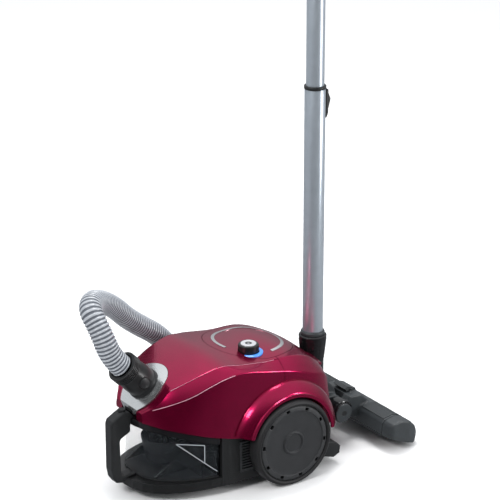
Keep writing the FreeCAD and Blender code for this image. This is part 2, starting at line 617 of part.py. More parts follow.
# ---------------------------------------------------------------- floor nozzle
def nozzle():
    barrel = rod(21, V(-29, BARREL_Y, BARREL_Z), V(29, BARREL_Y, BARREL_Z))
    stem = rod(18.5, V(0, WAND_Y, 70), V(0, WAND_Y, 117.4))
    web_outline = [
        (BARREL_Y - 30, 60), (BARREL_Y + 19, 66), (BARREL_Y + 12, 92), (WAND_Y + 16, 112),
        (WAND_Y - 16, 112),
    ]
    web = slab(web_outline, "x", -16, 16)
    spigot = rod(17.5, V(0, WAND_Y, 110), V(0, WAND_Y, 148))
    elbow = barrel.fuse(stem).fuse(web).fuse(spigot)
    elbow = elbow.cut(rod(14.5, V(0, WAND_Y, 62), V(0, WAND_Y, 160)))
    elbow = elbow.cut(rod(15.5, V(-40, BARREL_Y, BARREL_Z), V(40, BARREL_Y, BARREL_Z)))
    elbow = elbow.fuse(tube(18.4, 17.0, V(-29, BARREL_Y, BARREL_Z), V(29, BARREL_Y, BARREL_Z)))
    elbow = elbow.cut(rod(15.5, V(-40, BARREL_Y, BARREL_Z), V(40, BARREL_Y, BARREL_Z)))
    save("nozzle_elbow", biggest(elbow))
    pin_hole = rod(4.2, BARREL, BARREL + V(70, 0, 0))
    pivot_l = rod(15.4, BARREL + V(20, 0, 0), BARREL + V(37, 0, 0)).cut(pin_hole)
    arm_outline = [
        (BARREL_Y - 14, 50), (BARREL_Y, 43), (212, 34), (212, 52), (BARREL_Y + 10, 78),
        (BARREL_Y - 8, 76),
    ]
    arm = slab(arm_outline, "x", 30.5, 37)
    arm = arm.cut(pin_hole)
    side = pivot_l.fuse(arm)
    wheel_profile = [
        (4.0, 38.2), (17, 38.2), (18, 40), (18, 58), (16.5, 60), (4.0, 60),
    ]
    wheel = turned(wheel_profile, BARREL, ALONG_X)
    pin = rod(3.9, BARREL + V(22, 0, 0), BARREL + V(61, 0, 0))
    pin = pin.fuse(rod(6, BARREL + V(60.2, 0, 0), BARREL + V(61.2, 0, 0)))
    mid = HEAD_W - 27.0
    head = slab(HEAD, "x", -mid, mid)
    sole_cut_outline = [
        (208, 29), (209, 42), (228, 47), (244, 42), (262, 24), (266, 13), (258, 8),
    ]
    sole_cut = slab(sole_cut_outline, "x", -mid + 4, mid - 4)
    cover = head.cut(sole_cut)
    hump_outline = [
        (181, 66), (190, 76), (214, 74), (232, 57), (206, 50), (196, 40), (186, 52),
    ]
    hump = slab(hump_outline, "x", -37, 37)
    cover = cover.fuse(hump)
    cover = cover.cut(rod(22.5, V(-30.2, BARREL_Y, BARREL_Z), V(30.2, BARREL_Y, BARREL_Z)))
    cover = cover.fuse(side).fuse(mirror(side))
    cover = cover.cut(box(-30.2, 30.2, 130, 182, 0, 140))
    cover = cover.cut(rod(34.5, V(-17.5, BARREL_Y, BARREL_Z), V(17.5, BARREL_Y, BARREL_Z)))
    cover = cover.fuse(pivot_l).fuse(mirror(pivot_l))
    pads_outline = [
        (210.5, 54.1), (228, 57.6), (243, 53.4), (243, 54.8), (228, 59), (210.5, 55.5),
    ]
    pads = slab(pads_outline, "x", 42, mid - 3)
    cap = slab(HEAD, "x", mid, HEAD_W)
    bevel_outline = [
        (mid + 8, 190), (HEAD_W + 5, 190), (HEAD_W + 5, 215), (HEAD_W - 6, 206), (mid + 12, 200),
    ]
    bevel = slab(bevel_outline, "z", -10, 80)
    bevel_rear_outline = [
        (HEAD_W + 5, 236), (HEAD_W + 5, 290), (mid + 4, 290), (mid + 6, 276), (HEAD_W - 8, 262),
        (HEAD_W, 244),
    ]
    bevel_rear = slab(bevel_rear_outline, "z", -10, 80)
    cap = cap.cut(bevel).cut(bevel_rear)
    sole = slab([(204.4, 24.4), (203.6, 27.4), (257.4, 4.6), (256.4, 2.0)], "x", -mid + 2, mid - 2)
    sole = sole.cut(slab([(221, 30), (221, -5), (238, -5), (238, 30)], "x", -34, 34))
    brushes = []
    for share in (0.16, 0.86):
        foot = V(0, 204.4 + 52.0 * share, 24.4 - 22.4 * share)
        low = foot + V(0, -0.385, -0.923) * 2.0
        strip = Part.makeBox(188, 3.0, 15.0, V(-94, 0, 0))
        lean = FreeCAD.Placement(low, FreeCAD.Rotation(ALONG_X, -BRUSH_TILT))
        strip.Placement = lean
        room = Part.makeBox(190, 4.6, 40.0, V(-95, -0.8, -10.0))
        room.Placement = lean
        sole = sole.cut(room)
        cover = cover.cut(room)
        brushes.append(strip)
    lug = slab([(200, 72), (210, 72), (208, 81.5), (202, 81.5)], "x", 17.6, 20.6)
    lug = lug.cut(rod(2.3, V(10, PEDAL_Y, PEDAL_Z), V(30, PEDAL_Y, PEDAL_Z)))
    cover = cover.fuse(lug).fuse(mirror(lug))
    pedal = slab([(196, 77.5), (192, 82), (198, 86), (214, 80), (216, 75.6), (206, 76.6)], "x", -17, 17)
    save("nozzle_cover", biggest(cover))
    save("nozzle_pads", pair(pads))
    save("nozzle_caps", pair(cap))
    save("nozzle_rollers", pair(wheel))
    save("roller_pins", pair(pin))
    hinge = rod(2.0, V(-20, PEDAL_Y, PEDAL_Z), V(20, PEDAL_Y, PEDAL_Z))
    save("nozzle_pedal", pedal.fuse(hinge))
    save("nozzle_sole", sole)
    save("brush_strips", Part.makeCompound(brushes))


red_housing()
arches()
lower_housing()
grilles()
rear_feet()
wheel_set()
caster()
dust_bin()
bin_handle()
separator()
inlet_parts()
hose()
grip()
knob()
internals()
wand()
nozzle()
print("nodes", len(made), "box", Part.makeCompound(list(made.values())).BoundBox)
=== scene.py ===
"""Looks of a bagless canister vacuum cleaner with its wand and floor nozzle parked behind it.

Metres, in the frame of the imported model: +Z up, -Y the dust bin's end, +X the cleaner's left.
"""

import json
import math

import bmesh
import bpy
from mathutils import Matrix, Vector


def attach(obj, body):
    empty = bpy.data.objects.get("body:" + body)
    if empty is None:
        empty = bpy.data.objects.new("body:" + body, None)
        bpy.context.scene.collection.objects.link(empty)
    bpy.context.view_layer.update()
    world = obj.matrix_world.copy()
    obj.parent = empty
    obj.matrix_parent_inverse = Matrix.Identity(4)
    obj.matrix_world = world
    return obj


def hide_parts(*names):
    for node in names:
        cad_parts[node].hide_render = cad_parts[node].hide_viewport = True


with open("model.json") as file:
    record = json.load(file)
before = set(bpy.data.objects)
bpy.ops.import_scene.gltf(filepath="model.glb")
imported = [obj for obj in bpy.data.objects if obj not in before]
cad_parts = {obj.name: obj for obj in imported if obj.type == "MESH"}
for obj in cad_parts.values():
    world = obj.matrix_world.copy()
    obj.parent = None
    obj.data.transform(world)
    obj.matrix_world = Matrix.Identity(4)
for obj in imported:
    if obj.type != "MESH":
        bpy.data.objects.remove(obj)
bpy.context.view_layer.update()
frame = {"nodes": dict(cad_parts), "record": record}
NODES = frame["nodes"]
MM = 0.001
X_AXIS = Vector((1, 0, 0))
Z_AXIS = Vector((0, 0, 1))

# Driving places and sizes, in millimetres, the same as in the CAD part.
AXLE_Y = 4.0
WHEEL_R = 75.0
PANEL_Y = -1.0
PANEL_R = 76.0
KNOB_X = 42.0
KNOB_Y = -27.0
KNOB_R = 17.0
KNOB_TOP = 230.7
WAND_Y = 134.0
BIN_BACK_Y = -122.7
INLET = Vector((0, -201, 183))
INLET_DIR = Vector((0, -1, 1)).normalized()

# Body sections from front to rear: Y, then half width and height of the lower edge, of
# the side crease and of the shoulder crease, then the height on the centre line.
SECTIONS = [
    (-234, 40, 139, 38, 156, 34, 170, 174),
    (-215, 66, 134, 62, 168, 52, 182, 186),
    (-190, 83, 127, 79, 178, 64, 196, 200),
    (-165, 92, 119, 89, 187, 71, 206, 210),
    (-135, 98, 109, 95, 199, 77, 216, 220),
    (-105, 102, 101, 99, 208, 80, 222, 226),
    (-70, 104, 93, 101, 210, 82, 217, 223),
    (-20, 104, 86, 102, 200, 83, 211, 219),
    (30, 104, 78, 102, 188, 82, 209, 216),
    (70, 101, 74, 97, 172, 74, 196, 203),
    (96, 95, 70, 86, 162, 62, 178, 184),
    (108, 90, 70, 78, 150, 56, 166, 171),
]

# The hose's route: out of the elbow, over its arch and down to the floor on the far side.
ROUTE = [
    (0, -244.8, 226.8), (-2, -264, 246), (-10, -277, 290), (-38, -283, 325), (-76, -250, 321),
    (-104, -200, 289), (-124, -156, 245), (-146, -74, 186), (-180, -40, 128), (-230, -28, 72),
    (-290, -12, 32), (-352, 14, 19.2), (-418, 59, 19.2), (-438, 165, 19.2), (-377, 254, 19.2),
    (-275, 275, 19.2), (-190, 215, 19.2), (-184, 146, 19.2),
]

CAMERA_PLACE = (2.956, -2.008, 1.745)
CAMERA_AIM = (0.001, 0.004, 0.376)
CAMERA_LENS = 167


# ------------------------------------------------------------------ camera
def aim(obj, place, target):
    """Puts a camera or lamp at place, looking at target."""
    obj.location = place
    look = Vector(target) - obj.location
    obj.rotation_euler = look.to_track_quat("-Z", "Y").to_euler()


def camera():
    data = bpy.data.cameras.new("camera")
    data.lens = CAMERA_LENS
    data.sensor_width = 36
    cam = bpy.data.objects.new("camera", data)
    bpy.context.scene.collection.objects.link(cam)
    aim(cam, CAMERA_PLACE, CAMERA_AIM)
    bpy.context.scene.camera = cam


# ------------------------------------------------------------------ mesh helpers
def piece(name, mesh, body, finish, smooth=35):
    """A new visible mesh that rides on a body, with its material and material slot."""
    obj = bpy.data.objects.new(name, mesh)
    bpy.context.scene.collection.objects.link(obj)
    if not obj.data.materials:
        obj.data.materials.append(finish)
    shade(obj.data, smooth)
    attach(obj, body)
    return obj


def shade(mesh, degrees):
    """Smooth shading that keeps edges sharper than the angle."""
    mesh.shade_smooth()
    mesh.set_sharp_from_angle(angle=math.radians(degrees))


def mesh_of(bm, name):
    """Mesh data made from a finished bmesh, with its faces turned outwards."""
    bmesh.ops.recalc_face_normals(bm, faces=bm.faces)
    mesh = bpy.data.meshes.new(name)
    bm.to_mesh(mesh)
    bm.free()
    return mesh


def bridge(bm, rows):
    """Side faces between neighbouring rows, each a closed loop of vertices."""
    for low, high in zip(rows, rows[1:]):
        for i in range(len(low)):
            j = (i + 1) % len(low)
            bm.faces.new((low[i], low[j], high[j], high[i]))


def cap(bm, rows):
    """End faces on the first and the last row."""
    bm.faces.new(list(reversed(rows[0])))
    bm.faces.new(rows[-1])


def mesh_from(rings, caps=True):
    """Mesh through closed rings of points in mm, with its two ends closed if caps is true."""
    bm = bmesh.new()
    rows = [[bm.verts.new(Vector(p) * MM) for p in ring] for ring in rings]
    bridge(bm, rows)
    if caps:
        cap(bm, rows)
    return mesh_of(bm, "mesh")


def turned(profile, base, axis, steps=96):
    """Closed ring of revolution from a closed (radius, height) profile, in mm."""
    turn = Z_AXIS.rotation_difference(axis).to_matrix()
    rings = []
    for i in range(steps):
        angle = math.tau * i / steps
        out = Vector((math.cos(angle), math.sin(angle), 0))
        rings.append([turn @ (out * r + Z_AXIS * h) + base for r, h in profile])
    return mesh_from(rings + rings[:1], caps=False)


# ------------------------------------------------------------------ hose
def hose_line():
    """The hose's centre line as a smooth spline with the route's points as controls."""
    curve = bpy.data.curves.new("hose_line", "CURVE")
    curve.dimensions = "3D"
    curve.resolution_u = 24
    spline = curve.splines.new("NURBS")
    spline.points.add(len(ROUTE) - 1)
    for point, spot in zip(spline.points, ROUTE):
        point.co = (*[value * MM for value in spot], 1)
    spline.order_u = 3
    spline.use_endpoint_u = True
    holder = bpy.data.objects.new("hose_line", curve)
    bpy.context.scene.collection.objects.link(holder)
    line = bpy.data.meshes.new_from_object(holder)
    points = [vertex.co.copy() for vertex in line.vertices]
    bpy.data.objects.remove(holder)
    return points


def along_line(points, spacing):
    """Places at equal spacing along a polyline."""
    spots = [points[0].copy()]
    carried = 0.0
    for a, b in zip(points, points[1:]):
        run = (b - a).length
        while carried + run >= spacing * len(spots):
            share = (spacing * len(spots) - carried) / run
            spots.append(a.lerp(b, share))
        carried += run
    return spots


def frames_along(spots):
    """A twist-free pair of cross directions at each place of a line."""
    tangents = []
    for i in range(len(spots)):
        ahead = spots[min(i + 1, len(spots) - 1)]
        back = spots[max(i - 1, 0)]
        tangents.append((ahead - back).normalized())
    side = tangents[0].orthogonal().normalized()
    result = []
    for tangent in tangents:
        side = (side - tangent * side.dot(tangent)).normalized()
        result.append((side, tangent.cross(side)))
    return result


HOSE_PITCH = 6.0          # mm from one corrugation to the next
HOSE_SHAPE = (17.1, 17.2, 18.3, 18.95, 18.95, 18.3)     # radius at each ring of a corrugation
HOSE_GROOVE = (0, 1, 5)   # rings whose next band is dark
HOSE_SECTORS = 40


def hose():
    """Corrugated hose as one mesh, light on its crests and dark in its grooves."""
    line = hose_line()
    spots = along_line(line, HOSE_PITCH * MM / len(HOSE_SHAPE))
    bm = bmesh.new()
    rows = []
    for i, (spot, (u, w)) in enumerate(zip(spots, frames_along(spots))):
        radius = HOSE_SHAPE[i % len(HOSE_SHAPE)] * MM
        row = []
        for k in range(HOSE_SECTORS):
            angle = math.tau * k / HOSE_SECTORS
            row.append(bm.verts.new(spot + u * radius * math.cos(angle) + w * radius * math.sin(angle)))
        rows.append(row)
    bridge(bm, rows)
    for number, face in enumerate(bm.faces):
        ring = number // HOSE_SECTORS
        face.material_index = int(ring % len(HOSE_SHAPE) in HOSE_GROOVE)
    cap(bm, rows)
    mesh = mesh_of(bm, "hose_corrugated")
    mesh.materials.append(HOSE_CREST)
    mesh.materials.append(HOSE_DARK)
    obj = piece("hose_corrugated", mesh, "canister", None, smooth=180)
    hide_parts("hose")


# ------------------------------------------------------------------ materials
def material(name, colour, rough, metal=0.0, coat=0.0, coat_rough=0.03, vary=0.08,
             vary_scale=60.0, bump=0.0, bump_scale=900.0, rough_vary=0.06, alpha=1.0, spec=0.5):
    """Principled material with slight colour and roughness variation and a fine grain."""
    mat = bpy.data.materials.new(name)
    mat.use_nodes = True
    tree = mat.node_tree
    shader = tree.nodes["Principled BSDF"]
    shader.inputs["Metallic"].default_value = metal
    shader.inputs["Coat Weight"].default_value = coat
    shader.inputs["Coat Roughness"].default_value = coat_rough
    shader.inputs["Specular IOR Level"].default_value = spec
    shader.inputs["Alpha"].default_value = alpha
    place = tree.nodes.new("ShaderNodeTexCoord")
    noise = tree.nodes.new("ShaderNodeTexNoise")
    noise.inputs["Scale"].default_value = vary_scale
    noise.inputs["Detail"].default_value = 4
    tree.links.new(place.outputs["Object"], noise.inputs["Vector"])
    ramp = tree.nodes.new("ShaderNodeValToRGB")
    ramp.color_ramp.elements[0].position = 0.3
    ramp.color_ramp.elements[1].position = 0.7
    dark = [c * (1 - vary) for c in colour]
    light = [min(1, c * (1 + vary)) for c in colour]
    ramp.color_ramp.elements[0].color = (*dark, 1)
    ramp.color_ramp.elements[1].color = (*light, 1)
    tree.links.new(noise.outputs["Fac"], ramp.inputs["Fac"])
    tree.links.new(ramp.outputs["Color"], shader.inputs["Base Color"])
    spread = tree.nodes.new("ShaderNodeMapRange")
    spread.inputs["To Min"].default_value = max(0.0, rough - rough_vary)
    spread.inputs["To Max"].default_value = min(1.0, rough + rough_vary)
    tree.links.new(noise.outputs["Fac"], spread.inputs["Value"])
    tree.links.new(spread.outputs["Result"], shader.inputs["Roughness"])
    if bump:
        grain = tree.nodes.new("ShaderNodeTexNoise")
        grain.inputs["Scale"].default_value = bump_scale
        grain.inputs["Detail"].default_value = 3
        tree.links.new(place.outputs["Object"], grain.inputs["Vector"])
        relief = tree.nodes.new("ShaderNodeBump")
        relief.inputs["Strength"].default_value = bump
        relief.inputs["Distance"].default_value = 0.0004
        tree.links.new(grain.outputs["Fac"], relief.inputs["Height"])
        tree.links.new(relief.outputs["Normal"], shader.inputs["Normal"])
    return mat


HOSE_CREST = material("hose_crest", (0.36, 0.38, 0.41), 0.3, vary=0.06, coat=0.3, coat_rough=0.15)
HOSE_DARK = material("hose_groove", (0.09, 0.1, 0.12), 0.45, vary=0.06)
RED = material("red_paint", (0.27, 0.002, 0.042), 0.24, metal=0.85, coat=0.3, spec=0.2, vary=0.05,
               vary_scale=25, rough_vary=0.04)
BLACK_GLOSS = material("black_gloss", (0.008, 0.008, 0.009), 0.12, spec=0.4, rough_vary=0.03)
BLACK_MATTE = material("black_matte", (0.016, 0.017, 0.018), 0.42, spec=0.3, bump=0.25, bump_scale=1600)
BLACK_SATIN = material("black_satin", (0.012, 0.0125, 0.013), 0.3, spec=0.35, rough_vary=0.04)
CHARCOAL = material("charcoal", (0.03, 0.032, 0.034), 0.4, spec=0.3, bump=0.2, bump_scale=1800)
GREY = material("grey_plastic", (0.032, 0.037, 0.04), 0.4, spec=0.35, bump=0.3, bump_scale=1500)
SILVER = material("silver_satin", (0.6, 0.62, 0.625), 0.2, metal=0.9, vary=0.01, coat=0.2,
                  rough_vary=0.01)
TUBE = material("tube_satin", (0.42, 0.47, 0.52), 0.34, metal=0.6, vary=0.03, rough_vary=0.03)
RUBBER = material("tyre_rubber", (0.014, 0.014, 0.015), 0.55, spec=0.3, bump=0.2, bump_scale=2200)
STEEL = material("steel", (0.5, 0.5, 0.5), 0.3, metal=1.0, vary=0.05)
WHITE = material("knob_cap", (0.5, 0.51, 0.53), 0.35, metal=0.3, vary=0.02)
PAPER = material("filter_paper", (0.72, 0.71, 0.66), 0.9, bump=0.4, bump_scale=600)
BOARD = material("circuit_board", (0.02, 0.14, 0.05), 0.4, vary=0.3, vary_scale=200)
BRISTLE = material("bristle", (0.02, 0.02, 0.02), 0.8, bump=0.8, bump_scale=3000)
CLEAR = material("clear_plastic", (0.05, 0.058, 0.065), 0.05, coat=0.6, alpha=0.13, vary=0.02)
# Pale pink for thin tubes on the body's creases: a painted highlight, where the crease edges catch the
# light.
CREASE_HIGHLIGHT_PAINT = material("crease_painted_highlight", (0.62, 0.36, 0.44), 0.3, metal=0.3, vary=0.03)
RIB = material("rib_plastic", (0.4, 0.43, 0.46), 0.3, vary=0.05)


def blue_painted_glow():
    """Glossy blue plastic with a faint painted glow from emission; the part is no lamp."""
    mat = material("blue_painted_glow", (0.05, 0.2, 0.6), 0.15, coat=0.5, vary=0.15)
    shader = mat.node_tree.nodes["Principled BSDF"]
    # Emission paints a faint blue glow onto plastic that gives no light of its own.
    shader.inputs["Emission Color"].default_value = (0.03, 0.22, 0.75, 1)
    shader.inputs["Emission Strength"].default_value = 0.45
    return mat


RIM_FROM = 57.4           # radius where the wheel's lighter rim starts, in mm
RIM_FACE = 129.2          # |X| above which the rim's surface is light, in mm
RIM_COLOUR = (0.085, 0.088, 0.09, 1)
RIM_SHARE = 0.1315        # how much of that colour the rim takes on


def arithmetic(tree, operation, first, second=None):
    """Output of a math node that works on one socket and a socket or a number."""
    node = tree.nodes.new("ShaderNodeMath")
    node.operation = operation
    tree.links.new(first, node.inputs[0])
    if isinstance(second, float):
        node.inputs[1].default_value = second
    elif second is not None:
        tree.links.new(second, node.inputs[1])
    return node.outputs["Value"]


def wheel_face():
    """Dark disc whose rim is a shade lighter; the notches in the rim stay dark."""
    mat = material("wheel_face", (0.022, 0.023, 0.025), 0.42, spec=0.35, bump=0.2, bump_scale=1800)
    tree = mat.node_tree
    shader = tree.nodes["Principled BSDF"]
    base = shader.inputs["Base Color"].links[0].from_socket
    place = tree.nodes.new("ShaderNodeTexCoord")
    flat = tree.nodes.new("ShaderNodeVectorMath")
    flat.operation = "MULTIPLY_ADD"
    flat.inputs[1].default_value = (0, 1, 1)
    flat.inputs[2].default_value = (0, -AXLE_Y * MM, -WHEEL_R * MM)
    tree.links.new(place.outputs["Object"], flat.inputs[0])
    reach = tree.nodes.new("ShaderNodeVectorMath")
    reach.operation = "LENGTH"
    tree.links.new(flat.outputs["Vector"], reach.inputs[0])
    split = tree.nodes.new("ShaderNodeSeparateXYZ")
    tree.links.new(place.outputs["Object"], split.inputs["Vector"])
    outward = arithmetic(tree, "ABSOLUTE", split.outputs["X"])
    past_rim = arithmetic(tree, "GREATER_THAN", reach.outputs["Value"], RIM_FROM * MM)
    on_face = arithmetic(tree, "GREATER_THAN", outward, RIM_FACE * MM)
    mix = tree.nodes.new("ShaderNodeMix")
    mix.data_type = "RGBA"
    mix.inputs["B"].default_value = RIM_COLOUR
    rim = arithmetic(tree, "MULTIPLY", past_rim, on_face)
    tree.links.new(arithmetic(tree, "MULTIPLY", rim, RIM_SHARE), mix.inputs["Factor"])
    tree.links.new(base, mix.inputs["A"])
    tree.links.new(mix.outputs["Result"], shader.inputs["Base Color"])
    return mat


WHEEL_FACE = wheel_face()
BLUE_GLOW_PAINT = blue_painted_glow()
FINISH = {
    "red_plastic": RED, "black_gloss": BLACK_GLOSS, "black_matte": BLACK_MATTE,
    "grey_plastic": GREY, "silver_paint": SILVER, "clear_bin": CLEAR, "tyre_rubber": RUBBER,
    "tube_metal": TUBE, "hose_plastic": BLACK_MATTE, "blue_light": BLUE_GLOW_PAINT, "white_cap": WHITE,
    "steel": STEEL, "filter_paper": PAPER, "board": BOARD, "bristle": BRISTLE,
}
OWN_FINISH = {
    "wheel_disc_left": WHEEL_FACE, "wheel_disc_right": WHEEL_FACE, "nozzle_rollers": BLACK_GLOSS,
    "roller_pins": BLACK_MATTE, "hose_elbow": BLACK_SATIN, "power_knob": BLACK_SATIN,
    "elbow_latch_left": BLACK_MATTE, "elbow_latch_right": BLACK_MATTE, "exhaust_grilles": CHARCOAL,
    "lower_housing": BLACK_SATIN, "bin_baffles": BLACK_GLOSS, "cyclone_cone": BLACK_GLOSS,
    "pleated_filter": BLACK_MATTE,
}
EDGE_WIDTH = 0.4          # mm of rounding on every edge, except for these nodes
EDGE = {"nozzle_pedal": 1.0, "hose_end_collar": 1.0, "wand_socket": 0.6}
MOULDED = {               # voxel size in mm and passes of smoothing, for blended mouldings
    "nozzle_cover": (1.3, 7), "nozzle_caps": (1.4, 16), "nozzle_elbow": (1.1, 10),
    "bin_handle": (1.0, 7), "hand_grip": (1.2, 6), "rear_bumper": (1.0, 4),
}
WELD = 0.02               # mm within which a CAD node's vertices are joined


def dress_nodes():
    """Gives each CAD node its material and softened edges."""
    for row in frame["record"]["subparts"]:
        obj = NODES[row["node"]]
        finish = OWN_FINISH.get(row["node"], FINISH[row["material_slot"]])
        obj.data.materials.clear()
        obj.data.materials.append(finish)
        if row["node"] in MOULDED:
            mould(obj, *MOULDED[row["node"]])
        else:
            soften(obj, EDGE.get(row["node"], EDGE_WIDTH))


def weld(obj):
    """Joins the vertices that neighbouring faces of a CAD node share."""
    modifier = obj.modifiers.new("weld", "WELD")
    modifier.merge_threshold = WELD * MM


def mould(obj, voxel, passes):
    """Turns the sharp joins of a CAD node into soft moulded blends."""
    weld(obj)
    remesh = obj.modifiers.new("remesh", "REMESH")
    remesh.mode = "VOXEL"
    remesh.voxel_size = voxel * MM
    remesh.use_smooth_shade = True
    smooth = obj.modifiers.new("smooth", "SMOOTH")
    smooth.factor = 0.5
    smooth.iterations = passes


def darken_bin_back():
    """The bin's flat rear wall is opaque black; the rest of the container is clear."""
    mesh = NODES["dust_container"].data
    mesh.materials.append(BLACK_GLOSS)
    for face in mesh.polygons:
        if face.center.y > BIN_BACK_Y * MM:
            face.material_index = 1


RIB_R = 0.6
RIB_ENDS = {              # where the ribs of one side wall meet, in mm
    "front": (76, -192, 104), "top": (91.5, -147, 96), "mid": (91.5, -147, 64), "low": (93.2, -124, 44),
}
RIB_RUNS = [("front", "top"), ("top", "mid"), ("front", "mid"), ("mid", "low")]


def bin_ribs():
    """Thin stiffening ribs inside both side walls of the bin."""
    bm = bmesh.new()
    for side in (1, -1):
        for start, end in RIB_RUNS:
            a, b = (Vector((RIB_ENDS[k][0] * side, *RIB_ENDS[k][1:])) * MM for k in (start, end))
            bar = bmesh.ops.create_cone(bm, cap_ends=True, segments=8, radius1=RIB_R * MM,
                                        radius2=RIB_R * MM, depth=(b - a).length)
            turn = Z_AXIS.rotation_difference(b - a).to_matrix().to_4x4()
            bmesh.ops.transform(bm, verts=bar["verts"], matrix=Matrix.Translation((a + b) / 2) @ turn)
    piece("bin_ribs", mesh_of(bm, "bin_ribs"), "bin", RIB, smooth=60)


def soften(obj, width):
    """Small rounding on the sharp edges of a CAD node."""
    weld(obj)
    bevel = obj.modifiers.new("bevel", "BEVEL")
    bevel.width = width * MM
    bevel.segments = 2
    bevel.limit_method = "ANGLE"
    bevel.angle_limit = math.radians(32)
    bevel.harden_normals = True


# ------------------------------------------------------------------ red shells
def eased(table, y):
    """Row of a table of sections at y, on a smooth curve through the rows."""
    last = len(table) - 1
    i = max(k for k in range(last) if table[k][0] <= y or k == 0)
    p0, p1, p2, p3 = (table[max(0, min(last, k))] for k in (i - 1, i, i + 1, i + 2))
    share = (y - p1[0]) / (p2[0] - p1[0])
    row = [y]
    for column in range(1, len(p1)):
        rise = (p2[column] - p0[column]) / (p2[0] - p0[0]) * (p2[0] - p1[0])
        fall = (p3[column] - p1[column]) / (p3[0] - p1[0]) * (p2[0] - p1[0])
        a, b = p1[column], p2[column]
        c2 = -3 * a + 3 * b - 2 * rise - fall
        c3 = 2 * a - 2 * b + rise + fall
        row.append(a + rise * share + c2 * share ** 2 + c3 * share ** 3)
    return row


def bowed(a, b, steps, bow):
    """Points from a to b, standing out by bow at the middle."""
    run = b - a
    out = Vector((run.y, -run.x)).normalized()
    shares = [i / steps for i in range(steps + 1)]
    return [a + run * t + out * bow * 4 * t * (1 - t) for t in shares]


def corner(before, spot, after, cut, steps=4):
    """Rounded corner as a short curve that starts and ends at cut from the spot."""
    a = spot + (before - spot).normalized() * cut
    b = spot + (after - spot).normalized() * cut
    curve = []
    for i in range(steps + 1):
        t = i / steps
        curve.append(a * (1 - t) ** 2 + spot * 2 * t * (1 - t) + b * t ** 2)
    return curve


SIDE_BOW = 1.6            # how far the side wall bulges between its edges, in mm
UPPER_BOW = 0.5
SIDE_CUT = 2.2            # run of the rounding on each crease
SHOULDER_CUT = 2.6
CROWN_STEPS = 12
BODY_STEP = 5.0           # mm between the rings of the body's surface


def half_ring(row, inset, drop):
    """Right half of a body section, from the lower edge over both creases to the centre."""
    _, wb, zb, wc, zc, ws, zs, zt = row
    low = Vector((wb - inset, zb - drop))
    side = Vector((wc - inset, zc - inset * 0.6))
    shoulder = Vector((ws - inset * 0.6, zs - inset))
    crown = zt - inset
    first = corner(low, side, shoulder, SIDE_CUT)
    second = corner(side, shoulder, Vector((0, crown)), SHOULDER_CUT)
    points = bowed(low, first[0], 8, SIDE_BOW)[:-1] + first
    points += bowed(first[-1], second[0], 3, UPPER_BOW)[1:-1] + second
    start = second[-1]
    for i in range(1, CROWN_STEPS + 1):
        x = start.x * (1 - i / CROWN_STEPS)
        points.append(Vector((x, crown - (crown - start.y) * (x / start.x) ** 2)))
    return points


def body_solid(inset, drop):
    """The closed form of the red body, or its inside if inset."""
    first = SECTIONS[0][0] + inset
    last = SECTIONS[-1][0] - inset
    count = round((last - first) / BODY_STEP)
    rings = []
    for i in range(count + 1):
        y = first + (last - first) * i / count
        half = half_ring(eased(SECTIONS, y), inset, drop)
        ring = [Vector((p.x, y, p.y)) for p in half]
        ring += [Vector((-p.x, y, p.y)) for p in reversed(half[:-1])]
        rings.append(ring)
    return mesh_from(rings)


def cut(mesh, cutter, operation="DIFFERENCE"):
    """One solid mesh cut by, or kept inside, another."""
    scene = bpy.context.scene
    target = bpy.data.objects.new("target", mesh)
    tool = bpy.data.objects.new("tool", cutter)
    scene.collection.objects.link(target)
    scene.collection.objects.link(tool)
    boolean = target.modifiers.new("cut", "BOOLEAN")
    boolean.object = tool
    boolean.operation = operation
    boolean.solver = "EXACT"
    depsgraph = bpy.context.evaluated_depsgraph_get()
    result = bpy.data.meshes.new_from_object(target.evaluated_get(depsgraph))
    bpy.data.objects.remove(target)
    bpy.data.objects.remove(tool)
    return result


def block(x0, x1, y0, y1, z0, z1):
    """Upright box between two limits along each axis, in mm."""
    rings = [[(x0, y0, z), (x1, y0, z), (x1, y1, z), (x0, y1, z)] for z in (z0, z1)]
    return mesh_from(rings)


def disc(radius, base, axis, low, high, steps=160):
    """Round bar between two heights above base along axis."""
    turn = Z_AXIS.rotation_difference(axis).to_matrix()
    rings = []
    for h in (low, high):
        ring = []
        for i in range(steps):
            angle = math.tau * i / steps
            ring.append(turn @ Vector((radius * math.cos(angle), radius * math.sin(angle), h)) + base)
        rings.append(ring)
    return mesh_from(rings)


def prism(outline, low, high, axis="z"):
    """Straight bar on an outline of (a, b) pairs, along axis x or z."""
    rings = []
    for level in (low, high):
        if axis == "x":
            rings.append([(level, a, b) for a, b in outline])
        else:
            rings.append([(a, b, level) for a, b in outline])
    return mesh_from(rings)


def bevelled(obj, width, segments=3, angle=28):
    """Rounded edges, then normals that keep the broad faces flat."""
    bevel = obj.modifiers.new("bevel", "BEVEL")
    bevel.width = width * MM
    bevel.segments = segments
    bevel.limit_method = "ANGLE"
    bevel.angle_limit = math.radians(angle)
    bevel.use_clamp_overlap = True
    normal = obj.modifiers.new("normals", "WEIGHTED_NORMAL")
    normal.keep_sharp = True
    normal.weight = 60


PLAN_LEAD = 6.0           # how far the hood's plan outline runs past the nose, in mm
PLAN_STEPS = 40


def crease_plan(rear, gap):
    """Plan outline along both shoulder creases, from the nose back to rear."""
    nose = SECTIONS[0][0]
    start = nose - PLAN_LEAD
    ys = [start + (rear - start) * i / PLAN_STEPS for i in range(PLAN_STEPS + 1)]
    half = [(eased(SECTIONS, max(y, nose))[5] - gap, y) for y in ys]
    return half + [(-x, y) for x, y in reversed(half)]


